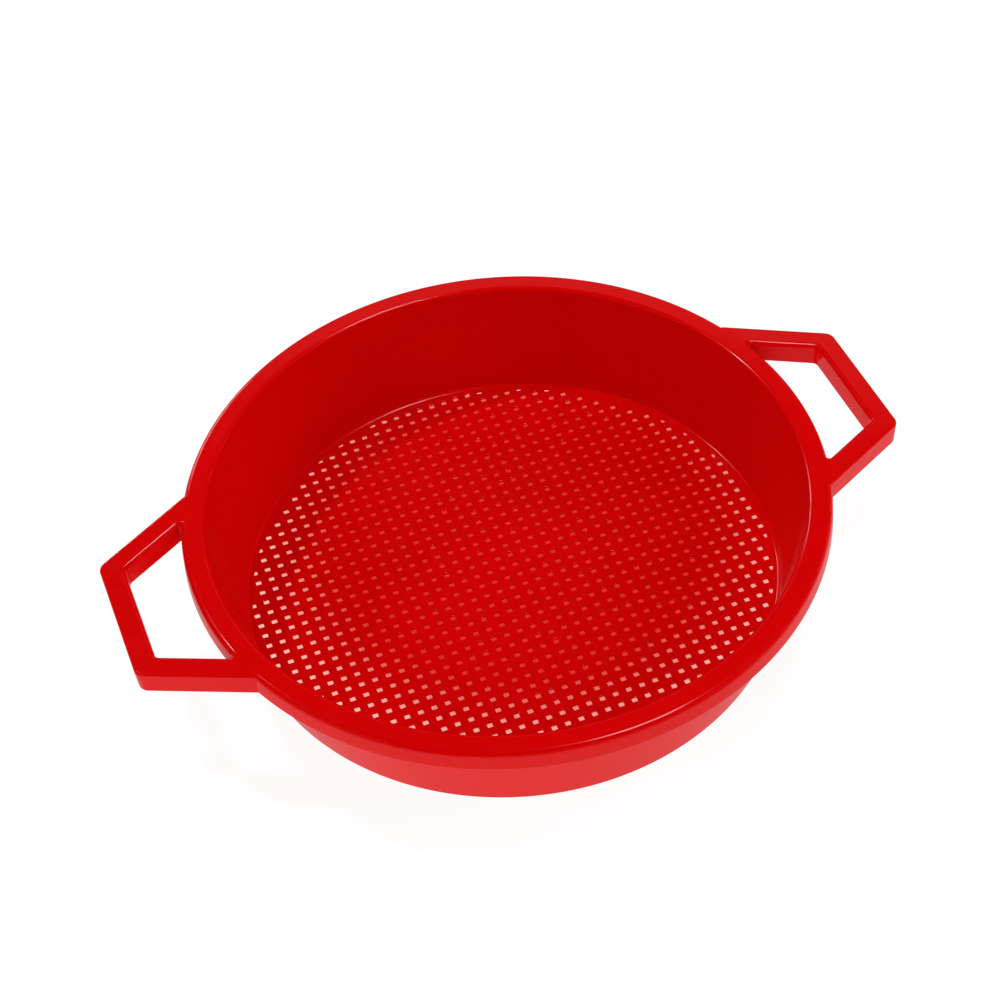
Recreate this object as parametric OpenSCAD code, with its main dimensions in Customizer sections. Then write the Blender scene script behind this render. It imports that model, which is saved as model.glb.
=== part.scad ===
// Round sand sieve: a shallow bowl with a square-hole floor, a flat rim with a
// downturned skirt, and two angular loop handles, all one thin-walled moulding.
// Every ring of the bowl is a band of one radial section, and both handles share one outline.
// Frame: Z up, origin at the centre of the foot's underside, X through the two handles.

/* [Bowl] */
// Height from the ground to the top of the rim
rim_z = 56.5; // [40:0.5:80]
// Inside diameter of the mouth, where the bowl's inner wall would meet the rim's top
mouth_d = 260; // [250:1:300]
// Outside diameter of the bowl at the ground
base_d = 241.5; // [210:0.5:246]
// Thickness of the bowl's wall
wall_t = 2; // [1.4:0.1:3]
// Radius where the wall turns into the floor, inside the bowl
floor_fillet_r = 1.6; // [0.6:0.1:2]

/* [Rim] */
// Width of the rim, from the mouth to its outside edge
rim_w = 10; // [9:0.25:16]
// Thickness of the rim's flat top
rim_t = 2.2; // [1.6:0.1:2.8]
// Radius of the rounded edge where the rim turns down into the bowl
lip_r = 2; // [1.5:0.1:3.6]
// Radius in the corners under the rim
under_r = 0.9; // [0.3:0.1:1.4]
// Radius of the rounded edge where the rim turns down into the skirt
rim_edge_r = 2.5; // [1:0.1:3.5]
// Depth of the skirt, from the top of the rim to its lower edge
skirt_h = 9; // [6:0.25:14]
// Thickness of the skirt
skirt_t = 2; // [1.4:0.1:3]
// How far the skirt's lower edge stands out past the rim's edge
skirt_flare = 0.6; // [0:0.1:1.5]

/* [Floor] */
// Height of the foot ring, from the ground to the underside of the floor
foot_h = 2.4; // [1:0.1:5]
// Thickness of the floor
floor_t = 1; // [0.8:0.1:3]
// Plain band between the perforated field and the inside of the wall
margin_w = 2.6; // [1.7:0.1:8]
// Spacing of the holes, centre to centre
hole_pitch = 6.12; // [5.5:0.01:16]
// Side of each square hole
hole_w = 2.5; // [2:0.1:4]

/* [Handles] */
// How far each handle reaches past the rim's edge
handle_out = 33.5; // [26:0.5:50]
// Width across the two arms of a handle, where they leave the rim
handle_root_w = 109; // [90:1:130]
// Length of the grip's outer side, corner to corner
grip_l = 63.5; // [40:0.5:80]
// Width of a handle's bars
bar_w = 10; // [8:0.1:12]
// Depth of a handle, from its top to its lower edge
handle_h = 10.8; // [6:0.1:14]
// Angle by which a handle hangs down from level, away from the rim
droop = 3; // [0:0.25:6]
// Thickness of a handle's walls
handle_wall_t = 1.8; // [1.4:0.1:2.4]
// Radius of the grip's outer corners, seen from above
corner_r = 5; // [2:0.25:7]
// Radius of the finger gap's corners, seen from above
gap_corner_r = 3; // [0.5:0.25:4]
// Break along the outer top edges of a handle
edge_break = 1.2; // [0.4:0.1:1.6]
// Radius of the rounded edge round the finger gap
gap_edge_r = 2; // [1:0.1:3.2]
// Thickness of the cross ribs under the handles
rib_t = 1.4; // [1:0.1:2]
// How far the cross ribs stop short of the handle's lower edge
rib_setback = 2; // [0.5:0.25:4]

/* [Hidden] */
$fn = 180;
plastic = [0.86, 0.02, 0.04];
// Segments in each rounded corner of an outline
arc_steps = 8;
// Facets across the rounded edge of the finger gap
edge_steps = 4;
// Cross ribs under each grip
grip_ribs = 2;
// Place of the rib under each arm, as a share of the arm from the rim
arm_rib_share = 0.42;
// Length by which a cut runs past what it cuts
over = 1;
// Height of the thin slices that a rounded edge is stretched over
slice_h = 0.01;

mouth_r = mouth_d / 2;
base_r = base_d / 2;
rim_r = mouth_r + rim_w;
skirt_z = rim_z - skirt_h;
handle_z = rim_z - handle_h;
under_z = rim_z - rim_t;
floor_z = foot_h + floor_t;
// Level at which the wall and the skirt hang from the rim
cap_z = under_z - under_r;

// The wall leans out evenly, with its outer face at the base and its inner face at the mouth
wall_spread = mouth_r - base_r;
wall_lean = atan2(wall_spread, rim_z) + asin(wall_t / norm([wall_spread, rim_z]));
function outer_r(z) = base_r + z * tan(wall_lean);
function inner_r(z) = outer_r(z) - wall_t / cos(wall_lean);
// The skirt's outer face runs evenly from the rim's edge to its flared lower edge
function skirt_r(z) = rim_r + skirt_flare * (rim_z - z) / skirt_h;
// A line down the open groove between the wall and the skirt, which parts them at every level
function parting_r(z) = outer_r(z) + (skirt_r(under_z) - skirt_t - outer_r(under_z)) / 2;
// Radius of the perforated field
field_r = inner_r(floor_z) - margin_w;

// The arms of a handle run straight from the rim's edge to the grip's corners
reach = rim_r + handle_out;
root_y = handle_root_w / 2;
root_x = sqrt(pow(rim_r, 2) - pow(root_y, 2));
arm_angle = atan2(root_y - grip_l / 2, reach - root_x);
// Where a handle's outline is closed, inside the rim, before the rim's shape is cut from it
seat_x = root_x - bar_w;

function unit(v) = v / norm(v);
// The arc of radius r that rounds the corner p between its neighbours a and b
function arc_points(a, p, b, r) =
    r <= 0 ? [p] :
    let (
        u = unit(a - p),
        v = unit(b - p),
        half = acos(u * v) / 2,
        centre = p + unit(u + v) * r / sin(half),
        from = p + u * r / tan(half) - centre,
        to = p + v * r / tan(half) - centre,
        start = atan2(from.y, from.x),
        sweep = atan2(from.x * to.y - from.y * to.x, from * to)
    )
    [for (i = [0:arc_steps]) centre + r * [cos(start + sweep * i / arc_steps), sin(start + sweep * i / arc_steps)]];
function spot(corner) = [corner.x, corner.y];
// An outline from corners given as [x, y, radius]
function rounded(corners) =
    let (n = len(corners))
    [for (i = [0:n - 1])
        each arc_points(spot(corners[(i + n - 1) % n]), spot(corners[i]), spot(corners[(i + 1) % n]), corners[i].z)];

// Radial section of everything that is round: foot, floor margin, wall, rim and skirt
module bowl_section() {
    polygon(rounded([
        [base_r - wall_t, 0, 0],
        [base_r, 0, 0],
        [outer_r(under_z), under_z, under_r],
        [skirt_r(under_z) - skirt_t, under_z, under_r],
        [skirt_r(skirt_z) - skirt_t, skirt_z, 0],
        [skirt_r(skirt_z), skirt_z, 0],
        [rim_r, rim_z, rim_edge_r],
        [mouth_r, rim_z, lip_r],
        [inner_r(floor_z), floor_z, floor_fillet_r],
        [field_r, floor_z, 0],
        [field_r, foot_h, 0],
        [base_r - wall_t, foot_h, 0]
    ]));
}

// Everything of the section on the bowl's side of the parting line, between two levels
module inside_parting(z_low, z_high) {
    polygon([[0, z_low], [parting_r(z_low), z_low], [parting_r(z_high), z_high], [0, z_high]]);
}

module rim() {
    color(plastic)
        rotate_extrude()
            intersection() {
                bowl_section();
                translate([0, cap_z])
                    square([rim_r + skirt_flare + over, rim_z - cap_z + over]);
            }
}

module rim_skirt() {
    color(plastic)
        rotate_extrude()
            difference() {
                intersection() {
                    bowl_section();
                    square([rim_r + skirt_flare + over, cap_z]);
                }
                inside_parting(-over, cap_z + over);
            }
}

module bowl_wall() {
    color(plastic)
        rotate_extrude()
            intersection() {
                bowl_section();
                inside_parting(foot_h, cap_z);
            }
}

module foot_ring() {
    color(plastic)
        rotate_extrude()
            intersection() {
                bowl_section();
                inside_parting(-over, foot_h);
            }
}

// Square holes on a square grid along X and Y, in the quarter where both X and Y are positive.
// The bars between the holes lie centred on both axes. A hole whose centre is in the field is cut,
// so the holes at the field's edge are part holes, closed by the margin.
module quarter_holes() {
    count = ceil(field_r / hole_pitch);
    for (i = [0:count - 1])
        for (j = [0:count - 1]) {
            centre = [i + 1 / 2, j + 1 / 2] * hole_pitch;
            if (norm(centre) < field_r)
                translate(centre)
                    square(hole_w, center = true);
        }
}

// A quarter of the perforated floor, turned or mirrored into its place
module sieve_quarter(side_x, side_y) {
    color(plastic)
        translate([0, 0, foot_h])
            mirror([side_x < 0 ? 1 : 0, 0, 0])
                mirror([0, side_y < 0 ? 1 : 0, 0])
                    linear_extrude(floor_t)
                        difference() {
                            intersection() {
                                circle(r = field_r);
                                square(field_r);
                            }
                            quarter_holes();
                        }
}

module sieve_front_left() {
    sieve_quarter(-1, -1);
}

module sieve_front_right() {
    sieve_quarter(1, -1);
}

module sieve_back_left() {
    sieve_quarter(-1, 1);
}

module sieve_back_right() {
    sieve_quarter(1, 1);
}

// Distance from the X axis to an arm's outer side, moved in by inset, at the station x
function arm_y(x, inset) = root_y - (x - root_x) * tan(arm_angle) - inset / cos(arm_angle);
// Outline of a handle with every side moved in by inset
function handle_outline(inset, r) =
    let (end_x = reach - inset, seat_y = arm_y(seat_x, inset), end_y = arm_y(end_x, inset))
    rounded([[seat_x, seat_y, 0], [end_x, end_y, r], [end_x, -end_y, r], [seat_x, -seat_y, 0]]);

// A plate of the handle's outline between two levels
module handle_plate(inset, r, z_low, z_high) {
    translate([0, 0, z_low])
        linear_extrude(z_high - z_low)
            polygon(handle_outline(inset, r));
}

// The block that the handle is cut from, with the break round its top
module handle_block() {
    hull() {
        handle_plate(0, corner_r, handle_z, rim_z - edge_break);
        handle_plate(edge_break, corner_r - edge_break, rim_z - slice_h, rim_z);
    }
}

// The finger gap, widening upwards along a quarter circle
module finger_gap() {
    handle_plate(bar_w, gap_corner_r, handle_z - over, rim_z + over);
    for (i = [0:edge_steps - 1])
        hull()
            for (k = [i, i + 1]) {
                turn = 90 * k / edge_steps;
                widening = gap_edge_r * (1 - cos(turn));
                level = rim_z - gap_edge_r * (1 - sin(turn));
                top = k == edge_steps ? rim_z + over : level + slice_h;
                handle_plate(bar_w - widening, gap_corner_r + widening, level, top);
            }
}

// The hollow under a handle's top plate, between its outer wall and the wall of the finger gap
module handle_hollow(z_low) {
    translate([0, 0, z_low])
        linear_extrude(under_z - z_low)
            difference() {
                polygon(handle_outline(handle_wall_t, corner_r - handle_wall_t));
                polygon(handle_outline(bar_w - handle_wall_t, gap_corner_r + handle_wall_t));
            }
}

// The space inside the outer face of the rim and its skirt, which a handle is fitted against
module rim_envelope() {
    low = handle_z - 3 * over;
    rotate_extrude()
        polygon(rounded([
            [0, low, 0],
            [skirt_r(low), low, 0],
            [rim_r, rim_z, rim_edge_r],
            [0, rim_z, 0]
        ]));
}

// Tips a handle down about the line through the two places where its outer sides leave the rim
module hung() {
    translate([root_x, 0, rim_z])
        rotate([0, droop, 0])
            translate([-root_x, 0, -rim_z])
                children();
}

module handle() {
    color(plastic)
        difference() {
            hung()
                difference() {
                    handle_block();
                    finger_gap();
                    handle_hollow(handle_z - over);
                }
            rim_envelope();
            translate([0, 0, rim_z])
                cylinder(r = rim_r + over, h = bar_w);
        }
}

// Cross ribs that keep the two walls of the hollow apart, one under each arm and some under the grip
module handle_ribs() {
    arm_x = root_x + (reach - root_x) * arm_rib_share;
    color(plastic)
        hung()
            intersection() {
                handle_hollow(handle_z + rib_setback);
                union() {
                    for (k = [1:grip_ribs])
                        translate([reach - bar_w / 2, grip_l * (k / (grip_ribs + 1) - 1 / 2), rim_z])
                            cube([bar_w, rib_t, 2 * handle_h], center = true);
                    for (side = [-1, 1])
                        translate([arm_x, side * arm_y(arm_x, bar_w / 2), rim_z])
                            rotate([0, 0, -side * arm_angle])
                                cube([rib_t, 2 * bar_w, 2 * handle_h], center = true);
                }
            }
}

module right_handle() {
    handle();
}

module left_handle() {
    rotate([0, 0, 180])
        handle();
}

module right_handle_ribs() {
    handle_ribs();
}

module left_handle_ribs() {
    rotate([0, 0, 180])
        handle_ribs();
}

rim();
rim_skirt();
bowl_wall();
foot_ring();
sieve_front_left();
sieve_front_right();
sieve_back_left();
sieve_back_right();
left_handle();
right_handle();
left_handle_ribs();
right_handle_ribs();
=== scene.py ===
# %% [markdown]
# # A red sand sieve
# The real sieve is one glossy moulding of polypropylene: a shallow bowl with a floor full of
# square holes, a flat rim with a skirt turned down round it, and two angular loop handles. The
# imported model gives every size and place. This lesson lays true rounded skins over it, gives them
# a moulded finish, and lights them as on a pale studio table.

# %% Load the frame
import math
from collections import namedtuple

import bpy
import numpy as np
from mathutils import Matrix, Vector
from mathutils.geometry import delaunay_2d_cdt


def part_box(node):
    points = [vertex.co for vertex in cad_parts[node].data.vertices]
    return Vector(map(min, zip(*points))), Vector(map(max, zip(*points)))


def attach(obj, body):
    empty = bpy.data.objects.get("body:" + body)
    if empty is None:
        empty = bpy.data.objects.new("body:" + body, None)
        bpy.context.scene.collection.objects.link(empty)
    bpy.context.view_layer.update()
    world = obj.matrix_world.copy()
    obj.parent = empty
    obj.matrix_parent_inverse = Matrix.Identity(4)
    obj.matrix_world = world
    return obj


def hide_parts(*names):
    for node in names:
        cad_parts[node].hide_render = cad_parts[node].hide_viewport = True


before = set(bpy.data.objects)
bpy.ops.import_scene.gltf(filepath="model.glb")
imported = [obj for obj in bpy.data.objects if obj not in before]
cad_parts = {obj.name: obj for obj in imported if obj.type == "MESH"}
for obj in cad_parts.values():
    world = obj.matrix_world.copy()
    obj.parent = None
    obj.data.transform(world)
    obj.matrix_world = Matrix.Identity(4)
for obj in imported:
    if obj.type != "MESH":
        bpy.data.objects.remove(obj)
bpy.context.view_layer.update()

print("nodes:", ", ".join(sorted(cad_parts)))

# %% [markdown]
# ## The frame's own sizes
# A mould maker works in millimetres, so every length below is in millimetres and is turned into
# metres only when a mesh is made. What the frame can tell is read from the boxes of its nodes, so
# the skins always lie where the solids lie. The other sizes are those of the section: walls and
# roundings.

# %% Sizes
MM = 0.001


def lowest(node):
    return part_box(node)[0] / MM


def highest(node):
    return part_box(node)[1] / MM


rim_z = highest("rim").z
skirt_z = lowest("rim_skirt").z
floor_top = highest("sieve_front_left").z
floor_under = lowest("sieve_front_left").z
field_r = -lowest("sieve_front_left").x

rim_r = 140.0
foot_r = 120.75
wall_t = 2.0
rim_t = 2.2
rim_w = 10.0
skirt_t = 2.0
skirt_flare = 0.6
handle_out = 33.5
root_half = 54.5
grip_half = 31.75
bar_w = 10.0
handle_h = 10.8
handle_wall_t = 1.8
droop = math.radians(3)
hole_w = 2.5
hole_pitch = 6.12

mouth_r = rim_r - rim_w
under_z = rim_z - rim_t
handle_z = rim_z - handle_h
reach = rim_r + handle_out
root_x = math.sqrt(rim_r ** 2 - root_half ** 2)
print(f"rim {2 * rim_r:.1f} mm across at {rim_z:.1f} mm, handles reach {reach:.1f} mm")
print(f"holes within {field_r:.1f} mm of the middle")

# %% [markdown]
# ## The leaning wall
# The bowl is a shallow cone, so that stacked sieves slide apart and the moulding leaves its
# mould. Its outer face starts at the foot's radius and its inner face ends at the mouth's, which
# fixes the lean. Two small functions give both faces at any level, and every section below uses
# them.

# %% Wall faces by level
wall_spread = mouth_r - foot_r
wall_lean = math.atan2(wall_spread, rim_z) + math.asin(wall_t / math.hypot(wall_spread, rim_z))


def outer_wall(z):
    return foot_r + z * math.tan(wall_lean)


def inner_wall(z):
    return outer_wall(z) - wall_t / math.cos(wall_lean)


def skirt_face(z):
    return rim_r + skirt_flare * (rim_z - z) / (rim_z - skirt_z)


print(f"the wall leans {math.degrees(wall_lean):.1f} degrees")

# %% [markdown]
# ## Sections
# A section is walked corner by corner, with the plastic always on the right hand, and each corner
# is rounded by a true arc. Every stop on the walk keeps its place and the way out of the plastic
# there. A bevel modifier could round the edges too, but arcs that are worked out meet their
# neighbours exactly, so a gloss runs over them without a ripple.

# %% Walk a section
no_turn = 1e-9


def left_of(direction):
    return np.array((-direction[1], direction[0]))


def towards(start, end):
    way = np.subtract(end, start)
    return way / np.hypot(*way)


def section(corners, steps=6):
    """Stops along corners given as (across, level, radius): place and way out at each."""
    spots = [np.array(corner[:2], float) for corner in corners]
    stops = []
    for i, (spot, corner) in enumerate(zip(spots, corners)):
        came = towards(spots[i - 1], spot) if i > 0 else towards(spot, spots[i + 1])
        goes = towards(spot, spots[i + 1]) if i + 1 < len(spots) else came
        turn = math.atan2(came[0] * goes[1] - came[1] * goes[0], came @ goes)
        if abs(turn) < no_turn:
            stops.append((*spot, *left_of(came)))
        elif corner[2] == 0:
            stops.append((*spot, *left_of(came)))
            stops.append((*spot, *left_of(goes)))
        else:
            radius = math.copysign(corner[2], turn)
            start = spot - came * corner[2] * math.tan(abs(turn) / 2)
            centre = start + left_of(came) * radius
            for k in range(steps + 1):
                angle = turn * k / steps
                way = left_of(came) * math.cos(angle) + left_of(left_of(came)) * math.sin(angle)
                stops.append((*(centre - way * radius), *way))
    return np.array(stops)


# %% [markdown]
# ## Outlines
# Seen from above, every edge of the moulding is a chain of arcs joined by straight runs. A bend
# holds the centre of its arc, its radius, which is negative where the centre lies outside the
# plastic, and the compass angles of the way out at its ends. Moving all points along their ways
# out gives the parallel line, so one outline serves every level of a rounded edge. The rim's
# share says how far a point belongs to the rim, at 1, or to a handle's bar, at 0, because the two
# have different edges.

# %% Bends and outlines
Bend = namedtuple("Bend", "centre radius start end share_start share_end", defaults=(0.0, 0.0))
Outline = namedtuple("Outline", "at out rim_share")
fine = 0.005
longest_step = 6.0
same_place = 1e-6
same_way = 1e-7


def compass(degrees):
    return np.array((math.cos(math.radians(degrees)), math.sin(math.radians(degrees))))


def compass_of(point):
    return math.degrees(math.atan2(point[1], point[0]))


def bend_points(bend, tolerance):
    """Points of a bend: place, way out and the rim's share, close enough together to look round."""
    step = math.degrees(math.sqrt(8 * tolerance / abs(bend.radius)))
    count = max(2, math.ceil(abs(bend.end - bend.start) / step))
    for k in range(count + 1):
        part = k / count
        out = compass(bend.start + (bend.end - bend.start) * part)
        share = bend.share_start + (bend.share_end - bend.share_start) * part ** 2 * (3 - 2 * part)
        yield np.array(bend.centre) + bend.radius * out, out, share


def outline(bends, tolerance=fine):
    """A closed outline through the bends, with its straight runs cut into short steps."""
    points = [point for bend in bends for point in bend_points(bend, tolerance)]
    at, out, shares = [], [], []
    for here, ahead in zip(points, points[1:] + points[:1]):
        gap = np.hypot(*(ahead[0] - here[0]))
        if gap < same_place:
            continue
        straight = np.allclose(here[1], ahead[1], atol=same_way)
        count = math.ceil(gap / longest_step) if straight else 1
        for k in range(count):
            at.append(here[0] + (ahead[0] - here[0]) * k / count)
            out.append(here[1])
            shares.append(here[2] + (ahead[2] - here[2]) * k / count)
    return Outline(np.array(at), np.array(out), np.array(shares))


def flipped(bends, across=False):
    """The same bends mirrored on the X axis or, if across, on the Y axis, walked as before."""
    turned = []
    for bend in reversed(bends):
        x, y = bend.centre
        centre = (-x, y) if across else (x, -y)
        ends = (180 - bend.end, 180 - bend.start) if across else (-bend.end, -bend.start)
        turned.append(Bend(centre, bend.radius, *ends, bend.share_end, bend.share_start))
    return turned


# %% [markdown]
# ## Handles that hang
# In the photograph the grips lie about two millimetres lower than the rim. So each bar is laid
# out level and then tipped down about the line through its two roots. Points that belong to the
# rim stay.

# %% Tip the bars down
def tipped(points, ways, rim_share):
    """Places and ways out after the tip, and the angle by which each point was turned."""
    turn = droop * (1 - rim_share)
    side = np.sign(points[:, 0])
    run = np.maximum(0, np.abs(points[:, 0]) - root_x)
    fall = points[:, 2] - rim_z
    outward = side * ways[:, 0]
    sine, cosine = np.sin(turn), np.cos(turn)
    x = points[:, 0] + side * (run * (cosine - 1) + fall * sine)
    z = rim_z + fall * cosine - run * sine
    way_x = side * (outward * cosine + ways[:, 2] * sine)
    way_z = ways[:, 2] * cosine - outward * sine
    return np.column_stack((x, points[:, 1], z)), np.column_stack((way_x, ways[:, 1], way_z)), turn


# %% [markdown]
# ## A skin
# A skin gathers the faces of one closed mesh. It sweeps a section along an outline, and closes
# flat regions between outlines with a constrained triangulation, which leaves every opening in
# them open. It also keeps the true way out of the plastic at each corner of each face. Blender
# would otherwise average neighbouring faces, and the big flat rim would pull dark smears into its
# own rounded edge.

# %% Gather faces into a closed mesh
closing_precision = 1e-7


class Skin:
    def __init__(self):
        self.points = np.empty((0, 3))
        self.turns = np.empty(0)
        self.faces = {3: [], 4: []}

    def ring(self, points, turns):
        first = len(self.points)
        self.points = np.concatenate((self.points, points))
        self.turns = np.concatenate((self.turns, turns))
        return np.arange(first, len(self.points))

    def add(self, corners, ways):
        self.faces[corners.shape[1]].append((corners, ways))

    def sweep(self, line, sections):
        """Sweeps one section, or one for each point, along an outline. Returns the end rings."""
        sections = np.broadcast_to(sections, (len(line.at), *np.shape(sections)[-2:]))
        walked = []
        for across, level, way_across, way_up in np.moveaxis(sections, 0, 2):
            points = np.column_stack((line.at + line.out * across[:, None], level))
            ways = np.column_stack((line.out * way_across[:, None], way_up))
            points, ways, turns = tipped(points, ways, line.rim_share)
            ends = walked[:1] + walked[-1:]
            known = [ids for at, ids, _ in ends if np.allclose(at, points, atol=same_place)]
            ids = known[0] if known else self.ring(points, turns)
            if walked and ids is not walked[-1][1]:
                low, low_ways = walked[-1][1:]
                corners = (low, np.roll(low, -1), np.roll(ids, -1), ids)
                next_low, next_high = (np.roll(way, -1, axis=0) for way in (low_ways, ways))
                corner_ways = (low_ways, next_low, next_high, ways)
                self.add(np.stack(corners, axis=1), np.stack(corner_ways, axis=1))
            walked.append((points, ids, ways))
        return walked[0][1], walked[-1][1]

    def close(self, rings, up, folds=()):
        """Closes the flat region inside the first ring and outside the others, along folds."""
        ids, faces, edges = [], [], []
        for ring in rings:
            spots = self.points[ring, :2]
            after = np.roll(spots, -1, axis=0)
            area = np.sum(spots[:, 0] * after[:, 1] - spots[:, 1] * after[:, 0])
            faces.append(list(range(len(ids), len(ids) + len(ring))))
            ids.extend(ring if area > 0 else ring[::-1])
        for fold in folds:
            edges.extend((k, k + 1) for k in range(len(ids), len(ids) + len(fold) - 1))
            ids.extend(fold)
        spots = [Vector(self.points[i, :2]) for i in ids]
        found = delaunay_2d_cdt(spots, edges, faces, 1, closing_precision)
        triangles, came_from, inside = found[2], found[3], found[5]
        real = [ids[origin[0]] for origin in came_from]
        within_first = [t for t, regions in zip(triangles, inside) if list(regions) == [0]]
        kept = np.array([[real[i] for i in triangle] for triangle in within_first])
        turns = self.turns[kept]
        tilt = np.sin(turns) * np.sign(self.points[kept, 0])
        self.add(kept, up * np.stack((tilt, np.zeros_like(turns), np.cos(turns)), axis=2))

    def piece(self, name, *nodes):
        """Makes the mesh, which stands for the given nodes of the frame and rides with them."""
        faces, ways = [], []
        for chunks in self.faces.values():
            if not chunks:
                continue
            corners = np.concatenate([chunk[0] for chunk in chunks])
            corner_ways = np.concatenate([chunk[1] for chunk in chunks])
            spots = self.points[corners]
            facing = np.cross(spots[:, 2] - spots[:, 0], spots[:, -1] - spots[:, 1])
            inward = np.sum(facing * corner_ways.sum(axis=1), axis=1) < 0
            corners[inward] = corners[inward][:, ::-1]
            corner_ways[inward] = corner_ways[inward][:, ::-1]
            faces.extend(corners.tolist())
            ways.extend(corner_ways.reshape(-1, 3).tolist())
        mesh = bpy.data.meshes.new(name)
        mesh.from_pydata((self.points * MM).tolist(), [], faces)
        mesh.polygons.foreach_set("use_smooth", [True] * len(faces))
        mesh.normals_split_custom_set(ways)
        made = bpy.data.objects.new(name, mesh)
        bpy.context.scene.collection.objects.link(made)
        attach(made, "root")
        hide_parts(*nodes)
        print(f"{name}: {len(mesh.vertices)} points, {len(mesh.polygons)} faces")
        return made


# %% [markdown]
# ## The lines of a handle
# Each arm runs straight from the rim's edge to a corner of the grip. A side of a bar is a line at
# a set distance from the middle of the bowl, so moving it in by a wall's thickness only changes
# that distance. Where a side meets the rim, the corner's arc touches both the line and the
# circle.

# %% Handle lines
arm_turn = math.degrees(math.atan2(root_half - grip_half, reach - root_x))
arm_side = 90 - arm_turn
arm_out = compass(arm_side)
arm_run = compass(-arm_turn)
arm_distance = float(arm_out @ (root_x, root_half))
print(f"the arms turn in by {arm_turn:.1f} degrees")


def grip_corner(inset, radius):
    """Centre of the arc between the sides of grip and arm, both moved in by inset."""
    x = reach - inset - radius
    return (x, (arm_distance - inset - radius - arm_out[0] * x) / arm_out[1])


def rim_corner(line_distance, circle_r):
    """The point at that distance beside the arm which is also that far from the bowl's middle."""
    return tuple(arm_out * line_distance + arm_run * math.sqrt(circle_r ** 2 - line_distance ** 2))


# %% [markdown]
# ## The outer edge
# One line goes all the way round: grip, arm, the root where it meets the rim, the rim behind, and
# the same again. The grip's corners are round, and a root has only the small fillet that a cutter
# leaves in the mould. Its quarter is written once and mirrored twice.

# %% Outer edge of rim and handles
corner_r = 5.0
root_fillet = 1.6


def outer_bends():
    root = rim_corner(arm_distance + root_fillet, rim_r + root_fillet)
    turn = compass_of(root)
    right = [
        Bend(grip_corner(0, corner_r), corner_r, 0, arm_side),
        Bend(root, -root_fillet, arm_side, turn, 0, 1),
    ]
    back = right + [Bend((0, 0), rim_r, turn, 180 - turn, 1, 1)] + flipped(right, across=True)
    return back + flipped(back)


outer_edge = outline(outer_bends())
print(f"the outer edge has {len(outer_edge.at)} points")

# %% [markdown]
# ## Finger gaps and hollows
# The gap for the fingers has tight corners and follows the rim on its near side. Under the
# handle's top the plastic is hollow, because a solid bar would sink and warp as it cooled: an
# outer wall and a wall round the gap leave a channel that is open below. Both outlines are walked
# with the way out of the plastic pointing into the opening.

# %% Outlines of gap and hollow
gap_corner_r = 3.0
gap_root_r = 1.2
hollow_corner_r = 1.0
hollow_rim_r = rim_r + skirt_flare


def gap_bends():
    root = rim_corner(arm_distance - bar_w - gap_root_r, rim_r + gap_root_r)
    turn = 360 + compass_of(root)
    half = [
        Bend(grip_corner(bar_w, gap_corner_r), -gap_corner_r, 180, 180 + arm_side),
        Bend(root, -gap_root_r, 180 + arm_side, turn, 0, 1),
        Bend((0, 0), rim_r, turn, 360, 1, 1),
    ]
    return half + flipped(half)


def hollow_bends():
    outer_wall_side = arm_distance - handle_wall_t
    gap_wall_side = arm_distance - bar_w + handle_wall_t
    outer_root = rim_corner(outer_wall_side - hollow_corner_r, hollow_rim_r + hollow_corner_r)
    inner_root = rim_corner(gap_wall_side + hollow_corner_r, hollow_rim_r + hollow_corner_r)
    outer_turn = 360 + compass_of(outer_root)
    inner_turn = 360 + compass_of(inner_root)
    wide_r = gap_corner_r + handle_wall_t
    narrow_r = corner_r - handle_wall_t
    half = [
        Bend(grip_corner(handle_wall_t, narrow_r), -narrow_r, 180, 180 + arm_side),
        Bend(outer_root, -hollow_corner_r, 180 + arm_side, outer_turn, 0, 1),
        Bend((0, 0), hollow_rim_r, outer_turn, inner_turn, 1, 1),
        Bend(inner_root, -hollow_corner_r, inner_turn, 360 + arm_side, 1, 0),
        Bend(grip_corner(bar_w, gap_corner_r), wide_r, 360 + arm_side, 360),
    ]
    return half + flipped(half)


right_gap = outline(gap_bends())
left_gap = outline(flipped(gap_bends(), across=True))
right_hollow = outline(hollow_bends())
left_hollow = outline(flipped(hollow_bends(), across=True))
print(f"a gap has {len(right_gap.at)} points and a hollow {len(right_hollow.at)}")

# %% [markdown]
# ## Roundings
# The width of the highlights in the photograph tells how round each edge is. A section starts and
# ends on a flat strip a fifth longer than its rounding, and there the faces that close the skin
# join it. Everything round is swept along one circle of directions, since its sections bring
# their distance from the middle with them.

# %% Roundings of rim and bars
lip_r = 2.0
under_r = 0.9
rim_edge = 2.5
bar_edge = 1.2
finger_edge = 2.0
low_edge = 0.45
hollow_edge = 0.6
flat = 1.2
cap_z = under_z - under_r
round_step = 1.0
round_steps = int(360 / round_step)
directions = np.array([compass(k * round_step) for k in range(round_steps)])
around = Outline(np.zeros((round_steps, 2)), directions, np.ones(round_steps))
print(f"the circle has {round_steps} points, and the rim's skin ends at {cap_z:.1f} mm")

# %% [markdown]
# ## Sections that change
# The rim's edge is rounder than a bar's and its skirt is less deep, so each point of an outline
# gets a section of its own from the rim's share.

# %% Sections down a side and down a hollow
def between(bar, rim, share):
    return bar + (rim - bar) * share


def side_sections(line, edge_r):
    """Sections down an outer side, from the flat top to the narrow edge below."""
    rows = []
    for share in line.rim_share:
        edge = between(edge_r, rim_edge, share)
        low = between(handle_z, skirt_z, share)
        rows.append(section([
            (-edge * flat, rim_z, 0),
            (0, rim_z, edge),
            (skirt_flare * share, low, low_edge),
            (-low_edge * flat, low, 0),
        ]))
    return np.array(rows)


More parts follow.
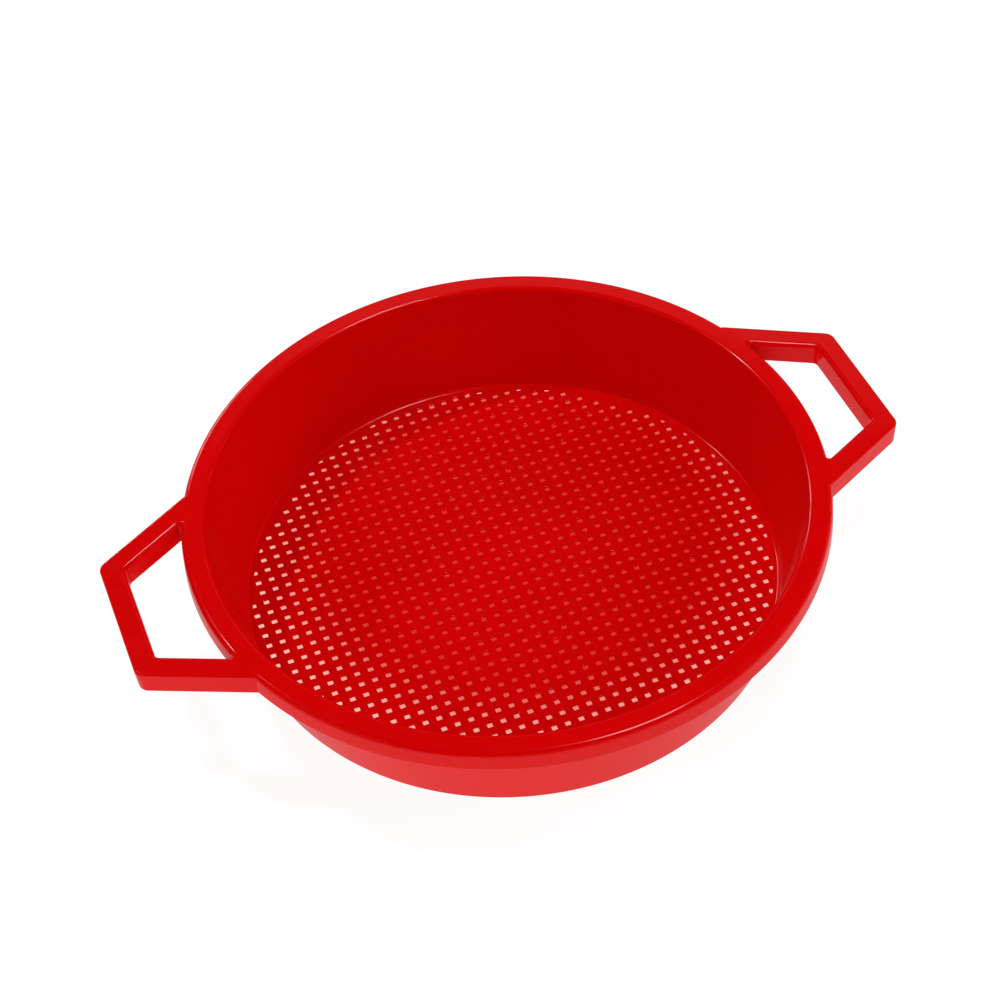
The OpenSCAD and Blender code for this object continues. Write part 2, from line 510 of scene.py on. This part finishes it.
def hollow_sections(line):
    """Sections down the side of a hollow, from its flat ceiling to the narrow edge below."""
    rows = []
    for share in line.rim_share:
        low = between(handle_z, skirt_z, share)
        rows.append(section([
            (hollow_edge * flat, under_z, 0),
            (0, under_z, hollow_edge),
            (0, low, low_edge),
            (-low_edge * flat, low, 0),
        ]))
    return np.array(rows)


outer_side = side_sections(outer_edge, bar_edge)
print(f"an outer side has {outer_side.shape[1]} stops from top to bottom")

# %% [markdown]
# ## Rim, skirt and handles
# They are one smooth skin. The flat tops and the narrow edges below are closed at the end,
# between the rings that the sweeps left. A fold across the root of each arm keeps the rim's top
# level up to where the arm begins to fall.

# %% Make the rim with its handles
fold_steps = 8


def root_fold(side_x, side_y):
    """Points across the root of an arm, where the rim's flat top ends."""
    outer = compass_of(rim_corner(arm_distance, rim_r))
    inner = compass_of(rim_corner(arm_distance - bar_w, rim_r))
    turns = [outer + (inner - outer) * k / fold_steps for k in range(1, fold_steps)]
    spots = [compass(turn) * (rim_r - rim_edge * flat) for turn in turns]
    points = [(side_x * x, side_y * y, rim_z) for x, y in spots]
    return skin.ring(points, np.zeros(len(points)))


skin = Skin()
top_outside, low_outside = skin.sweep(outer_edge, outer_side)
top_right, low_right = skin.sweep(right_gap, side_sections(right_gap, finger_edge))
top_left, low_left = skin.sweep(left_gap, side_sections(left_gap, finger_edge))
low_groove, top_mouth = skin.sweep(around, section([
    (skirt_face(skirt_z) - skirt_t + low_edge * flat, skirt_z, 0),
    (skirt_face(skirt_z) - skirt_t, skirt_z, low_edge),
    (skirt_face(under_z) - skirt_t, under_z, under_r),
    (outer_wall(under_z), under_z, under_r),
    (outer_wall(cap_z), cap_z, 0),
    (inner_wall(cap_z), cap_z, 0),
    (mouth_r, rim_z, lip_r),
    (mouth_r + lip_r, rim_z, 0),
], steps=8))
low_hollows = []
for hollow in (right_hollow, left_hollow):
    ceiling, low_hollow = skin.sweep(hollow, hollow_sections(hollow))
    skin.close([ceiling], up=-1)
    low_hollows.append(low_hollow)
root_folds = [root_fold(side_x, side_y) for side_x in (-1, 1) for side_y in (-1, 1)]
skin.close([top_outside, top_right, top_left, top_mouth], up=1, folds=root_folds)
skin.close([low_outside, low_right, low_left, low_groove, *low_hollows], up=-1)
rim_and_handles = skin.piece("rim_and_handles", "rim", "rim_skirt", "left_handle", "right_handle")

# %% [markdown]
# ## The bowl
# Everything round below the rim is one turned section: floor margin, fillet, inner face, outer
# face and foot. It ends where the rim's skin begins, on the straight of the wall, and where the
# floor plate begins, on the flat of the floor, so the gloss runs across both joins.

# %% Make the bowl
floor_fillet_r = 1.6
foot_edge = 0.5
foot_fillet_r = 0.35
plate_r = inner_wall(floor_top) - floor_fillet_r * math.tan((math.pi / 2 - wall_lean) / 2)

skin = Skin()
skin.sweep(around, section([
    (plate_r, floor_top, 0),
    (inner_wall(floor_top), floor_top, floor_fillet_r),
    (inner_wall(cap_z), cap_z, 0),
    (outer_wall(cap_z), cap_z, 0),
    (foot_r, 0, foot_edge),
    (foot_r - wall_t, 0, foot_edge),
    (foot_r - wall_t, floor_under, foot_fillet_r),
    (plate_r, floor_under, 0),
    (plate_r, floor_top, 0),
], steps=8))
bowl = skin.piece("bowl", "bowl_wall", "foot_ring")

# %% [markdown]
# ## The holes
# More than a thousand square holes stand in straight rows, with bars centred on both axes, and
# those at the edge are cut off by the plain margin. The cutter that made the mould leaves their
# corners round. A hole counts wholly as rim, with a share of 1, so that it never tips as a bar
# does.

# %% Outlines of the holes
hole_corner_r = 0.35
most_of_side = 0.45
coarse = 0.02
shortest_side = 0.1


def clipped(polygon, limit):
    """The part of a convex polygon within that distance of the bowl's middle, cut straight."""
    toward = polygon.mean(axis=0)
    toward = toward / np.hypot(*toward)
    kept = []
    for here, ahead in zip(polygon, np.roll(polygon, -1, axis=0)):
        depth, next_depth = limit - toward @ here, limit - toward @ ahead
        if depth >= 0:
            kept.append(here)
        if depth * next_depth < 0:
            kept.append(here + (ahead - here) * depth / (depth - next_depth))
    sides = zip(kept, kept[1:] + kept[:1])
    return np.array([spot for spot, after in sides if np.hypot(*(after - spot)) > shortest_side])


def hole_bends(polygon):
    """Rounds each corner of a hole, walked anticlockwise, as far as its sides leave room."""
    bends = []
    for i, corner in enumerate(polygon):
        came = corner - polygon[i - 1]
        goes = polygon[(i + 1) % len(polygon)] - corner
        start = compass_of(came) + 90
        turn = (compass_of(goes) + 90 - start) % 360
        slope = math.tan(math.radians(turn) / 2)
        radius = min(hole_corner_r, most_of_side * min(np.hypot(*came), np.hypot(*goes)) / slope)
        middle = compass(start + turn / 2) / math.cos(math.radians(turn) / 2)
        bends.append(Bend(tuple(corner + middle * radius), -radius, start, start + turn, 1, 1))
    return bends


def hole_polygons():
    square = np.array(((-1, -1), (1, -1), (1, 1), (-1, 1))) * hole_w / 2
    count = math.ceil(field_r / hole_pitch)
    for i in range(-count, count):
        for j in range(-count, count):
            centre = np.array((i + 0.5, j + 0.5)) * hole_pitch
            if np.hypot(*centre) < field_r:
                yield clipped(centre + square, field_r)


hole_edges = [outline(hole_bends(polygon), coarse) for polygon in hole_polygons()]
print(f"{len(hole_edges)} holes")

# %% [markdown]
# ## The sieve floor
# The floor is a thin plate, and the edge of every hole is swept down through it. Each mouth is
# broken by a touch, which is what catches the light and makes the grid read as moulded and not as
# printed. An array modifier with a boolean would take minutes, while outlines take seconds.

# %% Make the perforated floor
hole_mouth_edge = 0.18

skin = Skin()
plate_edge = section([(plate_r, floor_top, 0), (plate_r, floor_under, 0)])
top_plate, low_plate = skin.sweep(around, plate_edge)
hole_section = section([
    (-hole_mouth_edge * flat, floor_top, 0),
    (0, floor_top, hole_mouth_edge),
    (0, floor_under, 0),
], steps=2)
mouths = [skin.sweep(edge, hole_section) for edge in hole_edges]
skin.close([top_plate] + [top for top, low in mouths], up=1)
skin.close([low_plate] + [low for top, low in mouths], up=-1)
sieve_floor = skin.piece(
    "sieve_floor", "sieve_front_left", "sieve_front_right", "sieve_back_left", "sieve_back_right"
)

# %% [markdown]
# ## Maths on shader sockets
# A finish is a small calculation that runs at every point of a surface. Written with nodes it
# soon gets long, so a wire wraps the output socket of a node, and the operators on it add Math
# nodes. Any other node comes from one function, which takes the node's settings and what goes
# into its sockets. Colours are mixed by a Mix node, whose sockets for colours are known only by
# their numbers.

# %% Wires and nodes
class Wire:
    """A value on its way from one shader node to the next."""

    def __init__(self, socket):
        self.socket = socket

    def maths(self, operation, *values):
        tree = self.socket.id_data
        return add_node(tree, "Math", {"operation": operation}, dict(enumerate(values)))

    def __add__(self, other):
        return self.maths("ADD", self, other)

    def __sub__(self, other):
        return self.maths("SUBTRACT", self, other)

    def __rsub__(self, other):
        return self.maths("SUBTRACT", other, self)

    def __mul__(self, other):
        return self.maths("MULTIPLY", self, other)

    __radd__ = __add__
    __rmul__ = __mul__


def add_node(tree, kind, settings=None, sockets=None, output=0):
    """Adds a node: its settings first, then the values or wires of its sockets."""
    node = tree.nodes.new("ShaderNode" + kind)
    for name, value in (settings or {}).items():
        if name == "stops":
            for stop, (place, shade) in zip(node.color_ramp.elements, value):
                stop.position = place
                stop.color = (shade, shade, shade, 1)
        else:
            setattr(node, name, value)
    for name, value in (sockets or {}).items():
        if isinstance(value, Wire):
            tree.links.new(value.socket, node.inputs[name])
        else:
            node.inputs[name].default_value = value
    return Wire(node.outputs[output]) if node.outputs else None


def mixed(tree, factor, first, second):
    """A colour between two, by a Mix node whose colour sockets are 6 and 7 in and 2 out."""
    sockets = {"Factor": factor, 6: first, 7: second}
    return add_node(tree, "Mix", {"data_type": "RGBA"}, sockets, output=2)


def new_finish(name):
    """An empty material and its node tree."""
    material = bpy.data.materials.new(name)
    material.use_nodes = True
    material.node_tree.nodes.clear()
    return material, material.node_tree


# %% [markdown]
# ## Glossy red plastic
# Moulded polypropylene takes its gloss from the polished mould. The colour goes right through,
# with a slight unevenness where the pigment flowed, and the surface is never quite flat: as the
# plastic shrinks it sinks by a few hundredths of a millimetre, which bends long reflections a
# little. Fine handling marks leave some patches a touch duller.

# %% The red finish
red = (0.71, 0.0008, 0.0014, 1)
deep_red = (0.64, 0.0006, 0.0010, 1)
polished = 0.13
dulled_by = 0.06
marks_start, marks_full = 0.50, 0.72
sink_depth = 0.6
sink_strength = 0.04

red_plastic, tree = new_finish("glossy_red_plastic")
place = add_node(tree, "TexCoord", output="Object")


def noise(scale, detail=2.0, roughness=0.5):
    sockets = {"Vector": place, "Scale": scale, "Detail": detail, "Roughness": roughness}
    return add_node(tree, "TexNoise", {"noise_dimensions": "3D"}, sockets)


flow = noise(scale=16, detail=3)
marks = noise(scale=90, detail=4, roughness=0.65)
sinks = noise(scale=45, detail=1)
duller = {"stops": ((marks_start, 0.0), (marks_full, 1.0))}
dull = add_node(tree, "ValToRGB", duller, {"Fac": marks})
uneven = {"Strength": sink_strength, "Distance": sink_depth * MM, "Height": sinks}
gloss = add_node(tree, "BsdfPrincipled", None, {
    "Base Color": mixed(tree, flow, red, deep_red),
    "Roughness": polished + dull * dulled_by,
    "Normal": add_node(tree, "Bump", None, uneven),
    "IOR": 1.49,
    "Specular IOR Level": 0.22,
})
add_node(tree, "OutputMaterial", None, {"Surface": gloss})
print("red finish:", len(tree.nodes), "nodes")

# %% [markdown]
# ## Dress every piece
# The skins take the finish whole. The small ribs under the handles stay the frame's own solids,
# with plain edges. A bevel modifier would do nothing here, because it rounds only edges that two
# faces share, and the frame's faces come in unjoined.

# %% Dress skins and ribs
for piece in (rim_and_handles, bowl, sieve_floor):
    piece.data.materials.append(red_plastic)
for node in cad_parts.values():
    node.data.materials.clear()
    node.data.materials.append(red_plastic)

# %% [markdown]
# ## Painted light and shade on the table
# The floor is a pale studio table. Under a real sieve light comes only from the sides and through
# the red plastic. That light isn't computed here: the table under the sieve carries painted light
# and painted shade, pink near the foot and deep red behind the middle, and each hole shows what
# lies below it. The two colours and the darkest spot were fitted to one photograph. Far away the
# table turns wholly white, so that no horizon shows in a low view. Both go by distances on the
# table and not by the camera.

# %% Paint light and shade on the table by distance
# Painted shade is darkest round this centre and fades into painted light between these two
# distances.
painted_light_r = 128.0
painted_shade_r = 80.0
painted_shade_centre = (12.0, 20.0)
glow_seen = 0.9
whiter_from, whitest_from = 300.0, 1200.0

pale_table_with_painted_shade, tree = new_finish("pale_table_with_painted_shade")
spot = add_node(tree, "TexCoord", output="Object")


def distance_from(x, y):
    sockets = {0: spot, 1: (x * MM, y * MM, 0)}
    return add_node(tree, "VectorMath", {"operation": "DISTANCE"}, sockets, output=1)


distance = distance_from(0, 0)
fading = {"Value": distance_from(*painted_shade_centre), "From Min": painted_shade_r * MM, "From Max": painted_light_r * MM}
painted_fade = add_node(tree, "MapRange", {"interpolation_type": "SMOOTHSTEP"}, fading)
beyond = distance.maths("GREATER_THAN", distance, (foot_r - wall_t) * MM)
whitening = {
    "Value": distance,
    "From Min": whiter_from * MM,
    "From Max": whitest_from * MM,
    "To Min": glow_seen,
    "To Max": 1.0,
}
toward_white = add_node(tree, "MapRange", None, whitening)
# From this distance on, the table carries its full painted light.
print(f"the table is fully lit {painted_light_r:.0f} mm from its darkest spot")

# %% [markdown]
# ## The table's glow
# The table glows of itself as an overlit one does. That glow keeps the shadow round the sieve faint
# and lifts the skirt and the lower walls from below. Beyond the foot the camera sees it as plain
# white. Under the sieve its colour is painted light and painted shade, and its matt is painted
# darker. The gloss mirrors only a part of it, which gives the walls their pinkish sheen.

# %% Make the table glow
glow_on_plastic = 1.4
glow_mirrored = 0.36
white = (1, 1, 1, 1)
# Painted light and painted shade for the glow under the sieve, and a matt painted darker there.
painted_side_light = (1.15, 0.58, 0.48, 1)
painted_deep_shade = (0.80, 0.028, 0.026, 1)
painted_dark_matt = (0.02, 0.01, 0.01, 1)
matt_beyond = (0.20, 0.20, 0.20, 1)

seen = add_node(tree, "LightPath", output="Is Camera Ray")
mirrored = add_node(tree, "LightPath", output="Is Glossy Ray")
to_plastic = (1 - seen - mirrored) * glow_on_plastic
strength = to_plastic + seen * toward_white + mirrored * beyond * glow_mirrored
# Under the sieve the glow's tint is painted: deep red shade in the middle, pinkish light near the
# foot.
painted_glow_tint = mixed(tree, beyond, mixed(tree, painted_fade, painted_deep_shade, painted_side_light), white)
glow = add_node(tree, "Emission", None, {"Color": painted_glow_tint, "Strength": strength})
# Under the sieve the matt is painted nearly black, as painted shade.
matt_with_painted_shade = mixed(tree, beyond, painted_dark_matt, matt_beyond)
matt = add_node(tree, "BsdfDiffuse", None, {"Color": matt_with_painted_shade})
table = add_node(tree, "AddShader", None, {0: matt, 1: glow})
add_node(tree, "OutputMaterial", None, {"Surface": table})
print("table finish:", len(tree.nodes), "nodes")

# %% [markdown]
# ## The table top
# One great square at the level of the foot is enough. It is the stage and not a piece of the
# sieve.

# %% Lay the table top
floor_half = 3000.0

half = floor_half * MM
corners = [(-half, -half, 0), (half, -half, 0), (half, half, 0), (-half, half, 0)]
mesh = bpy.data.meshes.new("table")
mesh.from_pydata(corners, [], [(0, 1, 2, 3)])
table_top = bpy.data.objects.new("table", mesh)
mesh.materials.append(pale_table_with_painted_shade)
bpy.context.scene.collection.objects.link(table_top)
print(f"the table is {2 * floor_half:.0f} mm wide")

# %% [markdown]
# ## Light
# The glints on the photographed plastic tell where its lamps stood: a softbox nearly overhead, a
# small lamp high behind to the left, a wider one low beside it, and a pale backdrop that the back
# of the rim mirrors. The soft light from all round comes from four panels. They are hidden from
# reflections, because the rim's rounded edge would show a streak for each, and the real edge
# shows none. An area lamp is aimed at the sieve by its compass direction and its height.

# %% Place the lamps
middle = Vector((0, 0, rim_z * MM))


def lamp(name, direction, height, distance, size, power, mirrored=True):
    """A softbox at a compass direction and height in degrees, aimed at the middle of the rim."""
    flat_way = compass(direction) * math.cos(math.radians(height))
    way = Vector((*flat_way, math.sin(math.radians(height))))
    data = bpy.data.lights.new(name, "AREA")
    data.shape = "RECTANGLE"
    data.size, data.size_y = size
    data.energy = power
    made = bpy.data.objects.new(name, data)
    made.location = middle + way * distance
    made.rotation_euler = way.to_track_quat("Z", "Y").to_euler()
    made.visible_glossy = mirrored
    bpy.context.scene.collection.objects.link(made)
    print(f"{name}: {power} W at {direction} degrees, {height} degrees high")


lamp("overhead_softbox", 0, 76, 1.5, (0.28, 0.28), 7.1)
lamp("back_left_low", 103, 24, 1.6, (0.42, 0.18), 4)
lamp("back_left_high", 128, 52, 1.6, (0.12, 0.12), 5)
lamp("backdrop", 72, 36, 2.5, (2.0, 0.5), 1.2)
lamp("right_panel", 10, 20, 1.8, (1.0, 0.6), 9.6, mirrored=False)
lamp("left_panel", -165, 30, 1.8, (1.0, 0.8), 11.7, mirrored=False)
lamp("front_panel", -100, 12, 1.8, (1.2, 0.5), 3.7, mirrored=False)
lamp("front_right_panel", -35, 30, 1.8, (1.0, 0.8), 9.1, mirrored=False)

# %% [markdown]
# ## Surroundings
# The world is white to the camera alone. It gives no light, so everything that falls on the sieve
# comes from the lamps and the table, and the gloss mirrors no pale sky.

# %% Set the world
world = bpy.data.worlds.new("studio")
world.use_nodes = True
world.node_tree.nodes.clear()
seen = add_node(world.node_tree, "LightPath", output="Is Camera Ray")
white_if_seen = {"Color": white, "Strength": seen}
surroundings = add_node(world.node_tree, "Background", None, white_if_seen)
add_node(world.node_tree, "OutputWorld", None, {"Surface": surroundings})
bpy.context.scene.world = world
print("world:", len(world.node_tree.nodes), "nodes")

# %% [markdown]
# ## Camera
# The camera stands where the photograph was taken: in front and to the left, looking down steeply
# and tilted a little to the right. Its direction, tilt, distance and lens come from lining up the
# rim, the handles and the rows of holes.

# %% Place the camera
camera_heading = 17.59
camera_height = 47.16
camera_tilt = 4.96
camera_distance = 923.25
camera_aim = Vector((0.88, 10.59, 39.0))
camera_lens = 75.48
camera_film = 36
nearest, farthest = 10.0, 20000.0

heading, height, tilt = map(math.radians, (camera_heading, camera_height, camera_tilt))
run = math.cos(height)
forward = Vector((math.sin(heading) * run, math.cos(heading) * run, -math.sin(height)))
level = Vector((math.cos(heading), -math.sin(heading), 0))
upright = level.cross(forward)
right = level * math.cos(tilt) - upright * math.sin(tilt)
up = right.cross(forward)

camera = bpy.data.objects.new("camera", bpy.data.cameras.new("camera"))
camera.data.lens = camera_lens
camera.data.sensor_width = camera_film
camera.data.clip_start = nearest * MM
camera.data.clip_end = farthest * MM
turned = Matrix((right, up, -forward)).transposed().to_4x4()
camera.matrix_world = Matrix.Translation((camera_aim - forward * camera_distance) * MM) @ turned
bpy.context.scene.collection.objects.link(camera)
bpy.context.scene.camera = camera
bpy.context.scene.view_settings.view_transform = "Standard"
print("camera at", [round(x, 3) for x in camera.matrix_world.translation])
